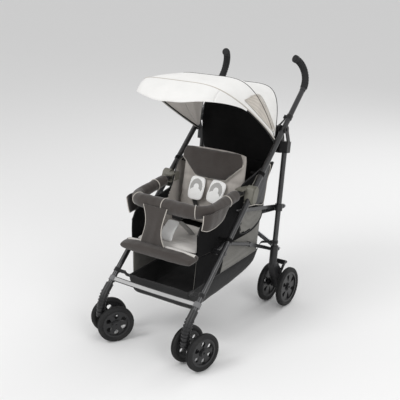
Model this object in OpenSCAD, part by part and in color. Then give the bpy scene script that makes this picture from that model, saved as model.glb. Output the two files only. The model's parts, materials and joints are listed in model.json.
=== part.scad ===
// Umbrella stroller: two folding side frames, twin wheels, swivel front casters,
// sling seat with reclining back, leg rest, bumper bar, canopy and basket.
// Millimetres. The stroller faces -Y, +Z is up, the ground is z = 0.

/* [Overall] */
// Distance between the middle planes of the two side frames
frame_w = 412; // [390:1:430]
// Front swivel axis to rear axle
wheelbase = 684; // [660:1:710]

/* [Wheels] */
// Diameter of the front wheels
front_wheel_d = 148; // [140:1:156]
// Diameter of the rear wheels
rear_wheel_d = 170; // [160:1:178]
// Width of every tyre
tyre_w = 26; // [20:1:28]
// Distance between the two wheels of a front pair
front_pair = 89; // [84:1:96]
// Distance between the two wheels of a rear pair
rear_pair = 91; // [84:1:98]
// Swivel axis to front axle
caster_trail = 45; // [36:1:50]
// Swivel angle of the right caster as it stands
caster_right_angle = 15; // [0:1:40]
// Swivel angle of the left caster as it stands
caster_left_angle = 31; // [0:1:40]
// Diameter of the steel axles
axle_d = 8; // [6:0.5:9]

/* [Frame] */
// Outer diameter of the frame tubes
tube_d = 22; // [20:0.5:23]
// Wall of the frame tubes
tube_wall = 1.6; // [1.2:0.1:2.5]
// Slope of the front leg above the ground
leg_angle = 41.8; // [41:0.1:42.5]
// Front leg length from its lower end to the top joint
leg_len = 871; // [850:1:885]
// Height of the lower end of the front leg
foot_z = 196; // [190:1:205]
// Inward turn of the handle bend
handle_lean = 19; // [14:0.5:22]
// Straight handle length above the top joint
handle_len = 211; // [190:1:225]
// Bend radius of the handle
handle_r = 78; // [70:1:86]
// Outer diameter of the foam grip
grip_d = 30; // [28:0.5:34]
// Lean of the rear leg
rear_lean = 8; // [7:0.1:8.6]

/* [Folding brace] */
// Height of the lower brace pivot along the rear leg
brace_low = 55; // [50:1:60]
// Rise between the lower and upper brace pivots
brace_rise = 186; // [180:1:192]
// Width of the brace bars
brace_w = 18; // [15:0.5:20]
// Thickness of the brace bars
brace_t = 7; // [5:0.5:7]

/* [Seat] */
// Width of the seat between the side panels
seat_w = 304; // [290:1:308]
// Height of the seat top at its front edge
seat_z = 404; // [396:1:410]
// Lean of the backrest
back_lean = 13; // [8:0.5:16]
// Thickness of the seat and back padding
pad_t = 26; // [20:1:30]
// Diameter of the padded bumper bar
bumper_d = 56; // [48:1:58]

/* [Fits] */
// Gap between pieces that are fixed to each other
fit = 0.15; // [0.1:0.05:0.25]
// Gap between pieces that run on each other
run = 0.4; // [0.3:0.05:0.5]

/* [Hidden] */
$fn = 48;
side_x = frame_w / 2;
front_y = -wheelbase / 2;
rear_axle_y = wheelbase / 2;
front_r = front_wheel_d / 2;
rear_r = rear_wheel_d / 2;
neck_r = 105;
foot_y = front_y + neck_r * (1 - cos(90 - leg_angle));
neck_low = foot_z - neck_r * sin(90 - leg_angle);
top_joint = [0, foot_y + leg_len * cos(leg_angle), foot_z + leg_len * sin(leg_angle)];
rear_y = rear_axle_y - 50;
rear_z = rear_r + 121;
tube_r = tube_d / 2;
grip_centre = [0, -handle_r * sin(leg_angle), handle_r * cos(leg_angle)];
joint_s = (top_joint[1] - rear_y) * sin(rear_lean) + (top_joint[2] - rear_z) * cos(rear_lean);
joint_n = (top_joint[1] - rear_y) * cos(rear_lean) - (top_joint[2] - rear_z) * sin(rear_lean);
brace_ang = atan2(frame_w, brace_rise);
brace_len = norm([frame_w, brace_rise]);
bar_a_n = 27;
bar_b_n = bar_a_n + brace_t + 2;
strut_t = 279;
strut_hold = leg_len - 404;
strut_x = -18.4;
rail_x = -32;
link_x = -40.6;
knee = [0, 147.5, 329.3];
seat_half = seat_w / 2;
back_y = 78;
back_z = seat_z - 14;
bow_y = 306;
bow_z = 734;
bow_ang = 34.8;
bow_h = 503;
bow_flare = 31;
visor_reach = 94;
visor_drop = 44;
flap_x = -26;
canopy_half = side_x - 13;
canopy_back_h = 224.4;
canopy_back_ang = 100;

function leg_pt(t) = [0, foot_y + t * cos(leg_angle), foot_z + t * sin(leg_angle)];
function rear_pt(s, n) = [
    0,
    rear_y + s * sin(rear_lean) + n * cos(rear_lean),
    rear_z + s * cos(rear_lean) - n * sin(rear_lean)
];

module right() translate([side_x, 0, 0]) children();
module left() mirror([1, 0, 0]) translate([side_x, 0, 0]) children();
module on_leg(t) translate(leg_pt(t)) rotate([leg_angle - 90, 0, 0]) children();
module on_rear(s) translate(rear_pt(s, 0)) rotate([-rear_lean, 0, 0]) children();
module along_x(x0, x1) translate([x0, 0, 0]) rotate([0, 90, 0]) linear_extrude(x1 - x0) children();
module disc_x(x0, x1, d) translate([x0, 0, 0]) rotate([0, 90, 0]) cylinder(h = x1 - x0, d = d);

// A round bar between two points
module rod(p, q, d) {
    v = q - p;
    translate(p)
        rotate([0, acos(v[2] / norm(v)), atan2(v[1], v[0])])
            cylinder(h = norm(v), d = d);
}

// A side profile in y and z, extruded along x
module plate(x0, x1) {
    translate([x0, 0, 0])
        rotate([90, 0, 90])
            linear_extrude(x1 - x0)
                children();
}

// A bent round bar in the y-z plane, angles counted from +y to +z
module arc_bar(centre, r, d, a0, a1) {
    translate(centre)
        rotate([90, 0, 90])
            rotate([0, 0, a0])
                rotate_extrude(angle = a1 - a0)
                    translate([r, 0])
                        circle(d = d);
}

// A flat bar with round ends, running along +x, its thickness along +y
module flat_bar(len, w, t) {
    rotate([-90, 0, 0])
        linear_extrude(t) {
            translate([0, -w / 2])
                square([len, w]);
            circle(d = w);
            translate([len, 0])
                circle(d = w);
        }
}

// A closed skin between two point grids, the first one on the outside
module skin(a, b) {
    r = len(a);
    c = len(a[0]);
    k = r * c;
    pts = concat([for (row = a) each row], [for (row = b) each row]);
    quads = concat(
        [for (i = [0:r - 2], j = [0:c - 2]) [i * c + j, i * c + j + 1, (i + 1) * c + j + 1, (i + 1) * c + j]],
        [for (i = [0:r - 2], j = [0:c - 2])
            [k + i * c + j, k + (i + 1) * c + j, k + (i + 1) * c + j + 1, k + i * c + j + 1]],
        [for (j = [0:c - 2]) [j, k + j, k + j + 1, j + 1]],
        [for (j = [0:c - 2]) let (q = (r - 1) * c) [q + j, q + j + 1, k + q + j + 1, k + q + j]],
        [for (i = [0:r - 2]) [i * c, (i + 1) * c, k + (i + 1) * c, k + i * c]],
        [for (i = [0:r - 2]) let (q = c - 1) [i * c + q, k + i * c + q, k + (i + 1) * c + q, (i + 1) * c + q]]
    );
    tris = [for (q = quads) each [[q[0], q[1], q[2]], [q[0], q[2], q[3]]]];
    polyhedron(points = pts, faces = tris, convexity = 6);
}

// Height share of a padded piece, full in the middle and drawn in at its edge
function crown(u, v) = 0.16 + 0.84 * sqrt((1 - pow(abs(u), 4)) * (1 - pow(abs(v), 4)));
// A stitched channel across the pad at each place listed
function channel(v, at) = len([for (q = at) if (abs(v - q) < 0.06) 1]) > 0 ? 0.62 : 1;

// A padded piece: width along x, length along y, its top towards +z
module cushion(w, l, t, nx, ny, top, at, round) {
    us = [for (i = [0:nx]) 2 * i / nx - 1];
    vs = [for (j = [0:ny]) 2 * j / ny - 1];
    a = [for (v = vs) [for (u = us)
        [w / 2 * u * (1 - round * pow(v, 4)), l / 2 * v * (1 - round * pow(u, 4)),
            t * top * crown(u, v) * channel(v, at)]]];
    b = [for (v = vs) [for (u = us)
        [w / 2 * u * (1 - round * pow(v, 4)), l / 2 * v * (1 - round * pow(u, 4)),
            -t * (1 - top) * crown(u, v)]]];
    skin([for (j = [0:ny]) [for (i = [0:nx]) a[j][nx - i]]], [for (j = [0:ny]) [for (i = [0:nx]) b[j][nx - i]]]);
}

// Frame of the handle bend, turned inward about the leg
module in_grip() {
    translate(leg_pt(leg_len + handle_len))
        rotate([leg_angle, 0, 0])
            rotate([0, -handle_lean, 0])
                rotate([-leg_angle, 0, 0])
                    children();
}

// One tube runs from the caster neck through the top joint to the handle end
module front_leg_side() {
    end = leg_len + handle_len;
    difference() {
        union() {
            rod(leg_pt(2), leg_pt(end), tube_d);
            in_grip() arc_bar(grip_centre, handle_r, tube_d, leg_angle - 90, leg_angle + 20);
            on_leg(end - 9) cylinder(h = 10, d = tube_d + 3);
            translate(leg_pt(strut_hold)) disc_x(strut_x + run, -tube_r + 3, 15);
            translate(leg_pt(strut_t)) disc_x(rail_x + 8.3 + run, -tube_r + 3, 17);
            translate(leg_pt(strut_t)) disc_x(tube_r - 3, tube_r + 3, 14);
            translate([0, bow_y, bow_z]) disc_x(-21, -6, 16);
        }
        rod(leg_pt(-2), leg_pt(end), tube_d - 2 * tube_wall);
        in_grip() arc_bar(grip_centre, handle_r, tube_d - 2 * tube_wall, leg_angle - 90, leg_angle + 20);
        translate(top_joint) disc_x(-20, 20, 8 + 2 * run);
        translate(leg_pt(strut_t)) disc_x(rail_x, -tube_r + 6, 7 + 2 * run);
    }
}

// Ribbed foam grip with a smooth end cap
module grip_side() {
    a0 = leg_angle - 90 + 1;
    step = 7.4;
    in_grip() difference() {
        union() {
            arc_bar(grip_centre, handle_r, grip_d - 3, a0, a0 + 106);
            for (i = [0:12]) arc_bar(grip_centre, handle_r, grip_d, a0 + 4 + i * step, a0 + 8.6 + i * step);
            arc_bar(grip_centre, handle_r, grip_d + 2, a0 + 104, a0 + 113);
            arc_bar(grip_centre, handle_r, grip_d - 5, a0 + 112, a0 + 115);
        }
        arc_bar(grip_centre, handle_r, tube_d + 2 * fit, a0 - 3, a0 + 109.2);
    }
}

// Oval moulding on the leg that carries the bumper bar
module elbow_side(pin) {
    centre = leg_pt(548);
    difference() {
        union() {
            translate(centre) rotate([leg_angle - 90 + 24, 0, 0]) {
                along_x(-17, 17) elbow_oval(40, 34);
                along_x(17, 20.5) elbow_oval(32, 34);
            }
            translate([-48, 58, 583]) cube([34, 60, 6]);
            translate([-48, 58, 556]) cube([20.4, 60, 6]);
            translate([-48, 92, 556]) cube([20.4, 26, 33]);
            if (pin) translate([-31, 74, 556]) cylinder(h = 33, d = 7);
        }
        on_leg(548) translate([0, 0, -90]) cylinder(h = 180, d = tube_d + 2 * fit);
    }
}

module elbow_oval(w, l) {
    translate([-l / 2, -w / 2]) square([l, w]);
    for (s = [-1, 1]) translate([s * l / 2, 0]) circle(d = w);
}

// Ribbed swivel neck, bent from the leg down to the vertical swivel axis
module neck_side() {
    c = [0, front_y + neck_r, neck_low];
    sweep = 90 - leg_angle;
    step = sweep / 8;
    difference() {
        union() {
            arc_bar(c, neck_r, 29, 180 - sweep, 180);
            for (i = [0:6]) arc_bar(c, neck_r, 35, 180 - sweep + (i + 0.5) * step, 180 - sweep + (i + 1.1) * step);
            on_leg(-3) cylinder(h = 34, d = 31);
            translate([0, front_y, neck_low - 8]) cylinder(h = 10, d = 38);
        }
        on_leg(0) cylinder(h = 60, d = tube_d + 2 * fit);
        translate([0, front_y, neck_low - 9]) cylinder(h = 31, d = 14 + 2 * run);
    }
}

// Caster fork drawn about its swivel axis, with the axle through its foot
module fork_shape() {
    top = neck_low - 8 - run;
    arm = 17;
    cylinder_low = front_r;
    difference() {
        union() {
            translate([0, 0, top - 9]) cylinder(h = 9, d = 40);
            translate([0, 0, top - 1]) cylinder(h = 26, d = 14);
            plate(-arm, arm) polygon([
                [-18, top - 4], [19, top - 4], [caster_trail + 17, cylinder_low + 9], [caster_trail + 17, cylinder_low - 6],
                [caster_trail + 8, cylinder_low - 16], [caster_trail - 9, cylinder_low - 16], [0, top - 26]
            ]);
            translate([0, caster_trail, cylinder_low]) disc_x(-27, 27, 26);
        }
        translate([0, caster_trail, cylinder_low]) disc_x(-30, 30, axle_d - 1);
    }
    translate([0, caster_trail, cylinder_low])
        disc_x(-front_pair / 2 - 15, front_pair / 2 + 15, axle_d);
}

module caster(side, ang) {
    translate([side * side_x, front_y, 0])
        rotate([0, 0, -ang])
            children();
}

// Tyre drawn about the x axis
module tyre_shape(r, treads) {
    rotate([0, 90, 0])
        difference() {
            rotate_extrude($fn = 72)
                polygon([
                    [r - 19, -9], [r - 15, -tyre_w / 2 + 1], [r - 9, -tyre_w / 2], [r - 3.5, -tyre_w / 2 + 3],
                    [r - 0.8, -7], [r, -3.4], [r - 2, -3], [r - 2, -1.6], [r, -1.2], [r, 1.2], [r - 2, 1.6],
                    [r - 2, 3], [r, 3.4], [r - 0.8, 7], [r - 3.5, tyre_w / 2 - 3], [r - 9, tyre_w / 2],
                    [r - 15, tyre_w / 2 - 1], [r - 19, 9]
                ]);
            for (i = [0:treads - 1], s = [-1, 1])
                rotate([0, 0, (i + (s + 1) / 4) * 360 / max(treads, 1)])
                    translate([r, 0, s * 11])
                        rotate([0, 0, 0])
                            cube([5, 4, 10], center = true);
        }
}

// Moulded rim with six teardrop windows and a raised hub
module rim_shape(r) {
    rr = r - 19 - fit;
    rotate([0, 90, 0])
        difference() {
            union() {
                rotate_extrude($fn = 72)
                    polygon([[rr - 8, -9], [rr, -9], [rr, 9], [rr - 8, 9]]);
                translate([0, 0, -5]) cylinder(h = 10, r = rr - 3);
                translate([0, 0, -12]) cylinder(h = 24, r = 14);
                translate([0, 0, -9]) cylinder(h = 18, r = 18);
            }
            for (i = [0:5])
                rotate([0, 0, i * 60])
                    translate([0, 0, -20])
                        linear_extrude(40) {
                            translate([rr - 19, 0]) circle(r = 9.6);
                            polygon([[21, 0], [rr - 24, 8.2], [rr - 15, 8.6], [rr - 15, -8.6], [rr - 24, -8.2]]);
                        }
            translate([0, 0, -30]) cylinder(h = 60, d = axle_d + 2 * run);
        }
}

module front_wheel(side, ang, out) {
    caster(side, ang)
        translate([out * front_pair / 2, caster_trail, front_r])
            children();
}

module rear_wheel(side, out) {
    translate([side * (side_x + out * rear_pair / 2), rear_axle_y, rear_r])
        children();
}

module rear_leg_side() {
    on_rear(0)
        difference() {
            translate([0, 0, 2]) cylinder(h = 503, d = tube_d);
            cylinder(h = 520, d = tube_d - 2 * tube_wall);
        }
}

// Rear wheel housing with its socket, brace pin and knee boss
module housing_side(lug_n) {
    axle = [0, rear_axle_y, rear_r];
    difference() {
        union() {
            on_rear(-14) cylinder(h = 88, d = 33);
            plate(-15, 15) polygon([
                [rear_y - 17, rear_z - 6], [rear_y + 18, rear_z - 4], [rear_axle_y - 6, rear_z - 40],
                [rear_axle_y + 16, rear_r + 12], [rear_axle_y + 16, rear_r - 8], [rear_axle_y + 4, rear_r - 17],
                [rear_axle_y - 14, rear_r - 13], [rear_y + 2, rear_z - 62]
            ]);
            translate(axle) disc_x(-28, 28, 30);
            on_rear(brace_low) rotate([-90, 0, 0]) cylinder(h = lug_n - run, d = 20);
            on_rear(brace_low) rotate([-90, 0, 0]) cylinder(h = lug_n + brace_t + run + 3, d = 8);
            on_rear(brace_low) translate([0, lug_n + brace_t + run, 0]) rotate([-90, 0, 0]) cylinder(h = 3, d = 16);
            translate(rear_pt(brace_low, 0)) disc_x(link_x + run, -14, 14);
            translate(rear_pt(brace_low, 0)) disc_x(link_x - 4, -20, 7);
        }
        on_rear(0) cylinder(h = 100, d = tube_d + 2 * fit);
        translate([0, rear_axle_y - 14, rear_r + 68]) disc_x(-40, 40, 7 + 2 * run);
        translate(axle) disc_x(-40, 40, axle_d - 1);
    }
    translate(axle) disc_x(-rear_pair / 2 - 15, rear_pair / 2 + 15, axle_d);
}

// Foot brake: two cheeks beside the housing and a ribbed tread behind it
module brake_side() {
    p = [0, rear_axle_y - 14, rear_r + 68];
    translate(p) {
        for (s = [-1, 1]) {
            plate(s > 0 ? 15.6 : -21, s > 0 ? 21 : -15.6) {
                circle(d = 20);
                polygon([[-1, 8], [31, 36], [42, 28], [4, -7]]);
            }
            disc_x(s > 0 ? 4 : -17, s > 0 ? 17 : -4, 7);
        }
        plate(-22, 22) polygon([[22, 25], [34, 40], [50, 33], [53, 26], [44, 24]]);
        for (i = [0:3]) translate([-20, 37 + i * 4, 37.4 - i * 1.8]) rotate([-23, 0, 0]) cube([40, 2, 2.4]);
    }
}

// Top joint moulding: socket on the rear leg, two cheeks and a pin through the front leg
module top_joint_side() {
    inner = tube_r + run + 0.2;
    difference() {
        union() {
            on_rear(474) translate([-18, -14, 0]) cube([36, 29, 46]);
            for (x = [-17, inner])
                on_rear(0)
                    plate(x, x + 17 - inner) {
                        translate([joint_n, joint_s]) circle(d = 32);
                        polygon([
                            [joint_n - 4, joint_s - 9], [joint_n + 10, joint_s + 7], [12, 514], [10, 490], [0, 494]
                        ]);
                    }
            translate(top_joint) disc_x(-20.5, 20.5, 8);
            translate(top_joint) disc_x(16, 19.5, 15);
            translate(top_joint) disc_x(-19.5, -16, 15);
        }
        on_rear(470) cylinder(h = 35.5, d = tube_d + 2 * fit);
    }
}

// Sliding collar on the rear leg that carries an upper brace end
module collar_side(lug_n) {
    on_rear(brace_low + brace_rise)
        difference() {
            union() {
                translate([0, 0, -14]) cylinder(h = 28, d = 32);
                rotate([-90, 0, 0]) cylinder(h = lug_n - run, d = 20);
                rotate([-90, 0, 0]) cylinder(h = lug_n + brace_t + run + 3, d = 8);
                translate([0, lug_n + brace_t + run, 0]) rotate([-90, 0, 0]) cylinder(h = 3, d = 16);
                disc_x(strut_x + run, -10, 16);
            }
            translate([0, 0, -30]) cylinder(h = 60, d = tube_d + 2 * run);
            disc_x(strut_x - 2, -tube_r + 1, 7 + 2 * run);
        }
}

// Brace bar from one lower pivot to the opposite collar
module brace_bar(side, n) {
    translate(rear_pt(brace_low, 0))
        rotate([-rear_lean, 0, 0])
            translate([side * side_x, n, 0])
                rotate([0, -90 - side * brace_ang, 0])
                    difference() {
                        flat_bar(brace_len, brace_w, brace_t);
                        for (x = [0, brace_len])
                            translate([x, -1, 0]) rotate([-90, 0, 0]) cylinder(h = brace_t + 2, d = 8 + 2 * run);
                        if (side < 0)
                            translate([brace_len / 2, -1, 0])
                                rotate([-90, 0, 0])
                                    cylinder(h = brace_t + 2, d = 8 + 2 * run);
                    }
}

// Side strut from the collar to the front leg
module strut_side() {
    p = rear_pt(brace_low + brace_rise, 0);
    q = leg_pt(strut_hold);
    v = q - p;
    translate(p) {
        translate([strut_x - 4, 0, 0])
            rotate([atan2(v[2], v[1]), 0, 0])
                rotate([0, 0, 90])
                    mirror([0, 1, 0])
                        flat_bar(norm(v), 15, 4);
        disc_x(strut_x - 7, strut_x - 3.5, 13);
        disc_x(strut_x - 1, -tube_r - 1.2, 7);
    }
    translate(q) disc_x(strut_x - 7, strut_x - 3.5, 13);
}

// Seat rail from the front leg back to the knee
module rail_side() {
    p = leg_pt(strut_t);
    bend = [0, p[1] + 62, p[2] + 14];
    translate([rail_x, 0, 0]) {
        rod(p, bend, 16);
        translate(bend) sphere(d = 16.6);
        rod(bend, knee, 16);
        translate(p) disc_x(-8.3, 8.3, 21);
        translate(knee) disc_x(-8.3, 8.3, 21);
        translate(p) disc_x(7, 19, 7);
    }
}

// Rear half of the folding seat rail, hinged on the rear leg
module link_side() {
    p = rear_pt(brace_low, 0);
    v = knee - p;
    difference() {
        translate(p)
            translate([link_x - 5.4, 0, 0])
                rotate([atan2(v[2], v[1]), 0, 0])
                    rotate([0, 0, 90])
                        mirror([0, 1, 0])
                            flat_bar(norm(v), 15, 5);
        translate(p) disc_x(link_x - 9, link_x + 2, 7 + 2 * run);
    }
    translate(knee) disc_x(link_x - 8, link_x - 5, 12);
}

module front_leg_right() color("#8d9196") right() front_leg_side();
module front_leg_left() color("#8d9196") left() front_leg_side();
module grip_right() color("#2b2b2d") right() grip_side();
module grip_left() color("#2b2b2d") left() grip_side();
module elbow_right() color("#6d6c63") right() elbow_side(true);
module elbow_left() color("#6d6c63") left() elbow_side(false);
module caster_neck_right() color("#1d1d1f") right() neck_side();
module caster_neck_left() color("#1d1d1f") left() neck_side();
module caster_fork_right() color("#1a1a1b") caster(1, caster_right_angle) fork_shape();
module caster_fork_left() color("#1a1a1b") caster(-1, caster_left_angle) fork_shape();
module tyre_fr_out() color("#161617") front_wheel(1, caster_right_angle, 1) tyre_shape(front_r, 0);
module tyre_fr_in() color("#161617") front_wheel(1, caster_right_angle, -1) tyre_shape(front_r, 0);
module tyre_fl_out() color("#161617") front_wheel(-1, caster_left_angle, -1) tyre_shape(front_r, 0);
module tyre_fl_in() color("#161617") front_wheel(-1, caster_left_angle, 1) tyre_shape(front_r, 0);
module rim_fr_out() color("#242426") front_wheel(1, caster_right_angle, 1) rim_shape(front_r);
module rim_fr_in() color("#242426") front_wheel(1, caster_right_angle, -1) rim_shape(front_r);
module rim_fl_out() color("#242426") front_wheel(-1, caster_left_angle, -1) rim_shape(front_r);
module rim_fl_in() color("#242426") front_wheel(-1, caster_left_angle, 1) rim_shape(front_r);
module tyre_rr_out() color("#161617") rear_wheel(1, 1) tyre_shape(rear_r, 30);
module tyre_rr_in() color("#161617") rear_wheel(1, -1) tyre_shape(rear_r, 30);
module tyre_rl_out() color("#161617") rear_wheel(-1, 1) tyre_shape(rear_r, 30);
module tyre_rl_in() color("#161617") rear_wheel(-1, -1) tyre_shape(rear_r, 30);
module rim_rr_out() color("#242426") rear_wheel(1, 1) rim_shape(rear_r);
module rim_rr_in() color("#242426") rear_wheel(1, -1) rim_shape(rear_r);
module rim_rl_out() color("#242426") rear_wheel(-1, 1) rim_shape(rear_r);
module rim_rl_in() color("#242426") rear_wheel(-1, -1) rim_shape(rear_r);
module rear_leg_right() color("#2a2b2d") right() rear_leg_side();
module rear_leg_left() color("#2a2b2d") left() rear_leg_side();
module rear_housing_right() color("#1b1b1d") right() housing_side(bar_a_n);
module rear_housing_left() color("#1b1b1d") left() housing_side(bar_b_n);
module brake_right() color("#333336") right() brake_side();
module brake_left() color("#333336") left() brake_side();
module top_joint_right() color("#1f1f21") right() top_joint_side();
module top_joint_left() color("#1f1f21") left() top_joint_side();
module collar_right() color("#1f1f21") right() collar_side(bar_b_n);
module collar_left() color("#1f1f21") left() collar_side(bar_a_n);

module brace_a() color("#9a9da1") {
    brace_bar(1, bar_a_n);
    on_rear(brace_low + brace_rise / 2)
        translate([0, bar_a_n + brace_t - 1, 0]) rotate([-90, 0, 0]) {
            cylinder(h = 3 + brace_t + 1 + run, d = 8);
            translate([0, 0, 3 + brace_t + run]) cylinder(h = 3, d = 18);
        }
}

module brace_b() color("#9a9da1") brace_bar(-1, bar_b_n);
module strut_right() color("#2c2d30") right() strut_side();
module strut_left() color("#2c2d30") left() strut_side();
module rail_right() color("#9b9fa3") right() rail_side();
module rail_left() color("#9b9fa3") left() rail_side();
module link_right() color("#232426") right() link_side();
module link_left() color("#232426") left() link_side();

module seat_pad() color("#b9b4ab") {
    translate([0, -64, seat_z - 16])
        rotate([-3.4, 0, 0])
            cushion(seat_w, 268, pad_t, 16, 12, 0.6, [-0.5, 0.5], 0.03);
}

module leg_rest() color("#4a4440") {
    translate([0, -231.8, seat_z - 15])
        rotate([8, 0, 0])
            cushion(seat_w + 46, 66, 30, 16, 6, 0.5, [], 0.05);
}

module on_back() translate([0, back_y, back_z]) rotate([-back_lean, 0, 0]) children();

module backrest() color("#8b8279") {
    on_back()
        translate([0, 17, 166])
            rotate([90, 0, 0])
                cushion(seat_w + 5.4, 328, pad_t, 16, 14, 0.6, [-0.3, 0.2], 0.06);
}

module head_pad() color("#3a3430") {
    on_back()
        translate([0, -6.3, 262])
            rotate([90, 0, 0])
                cushion(seat_w - 8, 126, 24, 14, 8, 0.7, [], 0.08);
}

// Cloth tub hung in the frame: two sides, the sling, the back and its upper panel
module seat_shell() color("#232325") {
    difference() {
        plate(-seat_half - 5.4, seat_half + 5.4)
            polygon([
                [-200, 384], [-196, 470], [-150, 512], [24, 534], [60, 546], [105, 600], [180, 636], [282, 648],
                [306, 640], [300, 560], [286, 468], [268, 404], [200, 372], [70, 368], [-60, 373]
            ]);
        plate(-seat_half - 3, seat_half + 3)
            polygon([
                [-210, 387], [-210, 700], [303, 700], [303, 640], [297, 561], [283, 469], [265, 406],
                [199, 374.6], [70, 370.6], [-60, 375.6]
            ]);
    }
    translate([0, 305.4, 642])
        rotate([-6, 0, 0])
            rotate([90, 0, 0])
                linear_extrude(2.6)
                    polygon([
                        [-152, -6], [152, -6], [172, 50], [178, 120], [176, 160], [168, 220], [150, 268], [125, 292],
                        [85, 304], [-85, 304], [-125, 292], [-150, 268], [-168, 220], [-176, 160], [-178, 120], [-172, 50]
                    ]);
    for (s = [-1, 1], t = [330, 640]) translate([s * side_x, 0, 0]) leg_loop(t, 14, s, side_x - seat_half - 4);
}

// Cloth loop round a front leg, with a tab of the given reach towards the middle
module leg_loop(t, h, s, reach) {
    on_leg(t) {
        difference() {
            cylinder(h = h, d = tube_d + 5);
            translate([0, 0, -1]) cylinder(h = h + 2, d = tube_d + 2 * fit);
        }
        translate([s > 0 ? -reach : tube_r + 1, -1, 1]) cube([reach - tube_r - 1, 2, h - 2]);
    }
}

// Padded bumper bar, hinged at the right elbow
module bumper_bar() color("#4b443f") {
    ax = side_x - 31;
    r = 74;
    mid = -182;
    arm_d = bumper_d - 10;
    difference() {
        union() {
            for (s = [-1, 1]) {
                rod([s * ax, mid + r - 5, 556], [s * ax, 44, 571], arm_d);
                translate([s * ax, 50, 563]) cylinder(h = 19, d = 30);
                translate([s * ax - 11, 40, 563]) cube([22, 44, 19]);
                translate([s * (ax - r), mid + r, 556])
                    rotate([0, 0, s > 0 ? -90 : 180])
                        rotate_extrude(angle = 90)
                            translate([r, 0]) circle(d = arm_d - 3);
            }
            rod([-ax + r - 5, mid, 555.5], [ax - r + 5, mid, 555.5], bumper_d);
        }
        translate([ax, 74, 540]) cylinder(h = 60, d = 7 + 2 * run);
        translate([-ax - 30, 74 - 5, 540]) cube([60, 20, 60]);
    }
}

// Cloth flap from the bumper bar down to the seat edge
module crotch_flap() color("#3b3531") {
    us = [for (i = [0:8]) i / 8 - 0.5];
    vs = [for (j = [0:10]) j / 10];
    f = function (u, v, o) [
        flap_x + u * (112 - 34 * sin(v * 180)) + 4 * sin(v * 300),
        -210.7 - o - 20 * v - 7 * sin(v * 180) + 8 * u * u * v,
        556 - v * 148
    ];
    skin([for (v = vs) [for (u = us) f(u, v, 3)]], [for (v = vs) [for (u = us) f(u, v, 0)]]);
}

// Shoulder straps and their pads on the backrest
module harness() color("#e6e4e0") {
    for (s = [-1, 1]) {
        on_back() {
            translate([s * 44 - 24, -8.6, 116]) rotate([3, s * 5, 0]) cube([48, 11, 79]);
            translate([s * 44 - 12.5, -2.4, 60]) rotate([0, s * 8, 0]) cube([25, 2.4, 60]);
        }
    }
}

// White strap loop that rises from the seat to the buckle
module crotch_strap() color("#eceae6") {
    us = [for (i = [0:6]) i / 6 - 0.5];
    vs = [for (j = [0:10]) j / 10];
    f = function (u, v, o) [
        u * 52,
        -176 + 58 * v - 12 * sin(v * 180) + o * sin(40 + 30 * v),
        seat_z + 7.6 + 66 * v - o * cos(40 + 30 * v)
    ];
    skin([for (v = vs) [for (u = us) f(u, v, -6)]], [for (v = vs) [for (u = us) f(u, v, 6)]]);
}

module buckle() color("#151516") {
    translate([0, -103.4, seat_z + 88.2])
        rotate([-50, 0, 0]) {
            translate([-26, -7, -18]) cube([52, 14, 40]);
            rotate([90, 0, 0]) translate([0, 2, 5]) cylinder(h = 5, d = 20);
        }
}

// Canopy arch: half width at its foot, flare above it, height along its plane, the plane's angle from the front
function arch(q, w, flare, h, ang, inset) =
    let (up = pow(max(sin(q), 0), 0.59))
    let (c = abs(cos(q)) < 0.0001 ? 0 : sign(cos(q)) * pow(abs(cos(q)), 0.36))
    let (x = (w + flare * (1 - pow(1 - up, 3)) - inset) * c)
    let (z = 16 + (h - 16 - inset) * up)
    [x, bow_y - z * cos(ang), bow_z + z * sin(ang)];

function canopy_ring(f, n, inset) =
    let (ang = bow_ang + (canopy_back_ang - bow_ang) * f)
    let (h = canopy_back_h + (bow_h - canopy_back_h) * pow(1 - f, 2.4))
    let (flare = bow_flare * max(1 - 2 * f, 0))
    [for (j = [0:n]) arch(j / n * 180, canopy_half - 4 * f, flare, h, ang, inset)];

module canopy() color("#f1f0ee") {
    n = 24;
    fs = [for (i = [0:10]) pow(i / 10, 1.3)];
    skin([for (f = fs) canopy_ring(f, n, 0)], [for (f = fs) canopy_ring(f, n, 3)]);
}

// Front bow rod inside the canopy edge, its ends at the two side pivots
module canopy_bow() color("#cfd0d2") {
    eye = [side_x - 26.9, bow_y, bow_z];
    arc = [for (j = [0:24]) arch(j * 7.5, canopy_half, bow_flare, bow_h, bow_ang, 8.4)];
    p = concat([eye], arc, [[-eye[0], eye[1], eye[2]]]);
    n = len(p) - 1;
    up = [0, sin(bow_ang), cos(bow_ang)];
    f = function (j, q)
        let (t = p[min(j + 1, n)] - p[max(j - 1, 0)])
        let (a = cross(up, t / norm(t)))
        p[j] + 3 * (cos(q) * a + sin(q) * up);
    skin([for (j = [0:n]) [for (q = [15, 65, 115, 165]) f(j, q)]],
        [for (j = [0:n]) [for (q = [15, 65, 115, 165]) f(j, -q)]]);
}

// Sun visor that points forward from the front bow
module visor() color("#f3f2f0") {
    n = 16;
    vs = [for (i = [0:6]) i / 6];
    f = function (j, v, o)
        let (p = arch(26 + j * 128 / n, canopy_half, bow_flare, bow_h, bow_ang, -1))
        let (b = pow(sin(j / n * 180), 0.8))
        [
            p[0],
            p[1] - 0.3 - 0.4 * o - v * (6 + visor_reach * b),
            p[2] - 0.4 + 0.9 * o - v * (6 + visor_drop * b) + 9 * sin(v * 180) * b
        ];
    skin([for (v = vs) [for (j = [0:n]) f(n - j, v, 2.6)]], [for (v = vs) [for (j = [0:n]) f(n - j, v, 0)]]);
}

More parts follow.
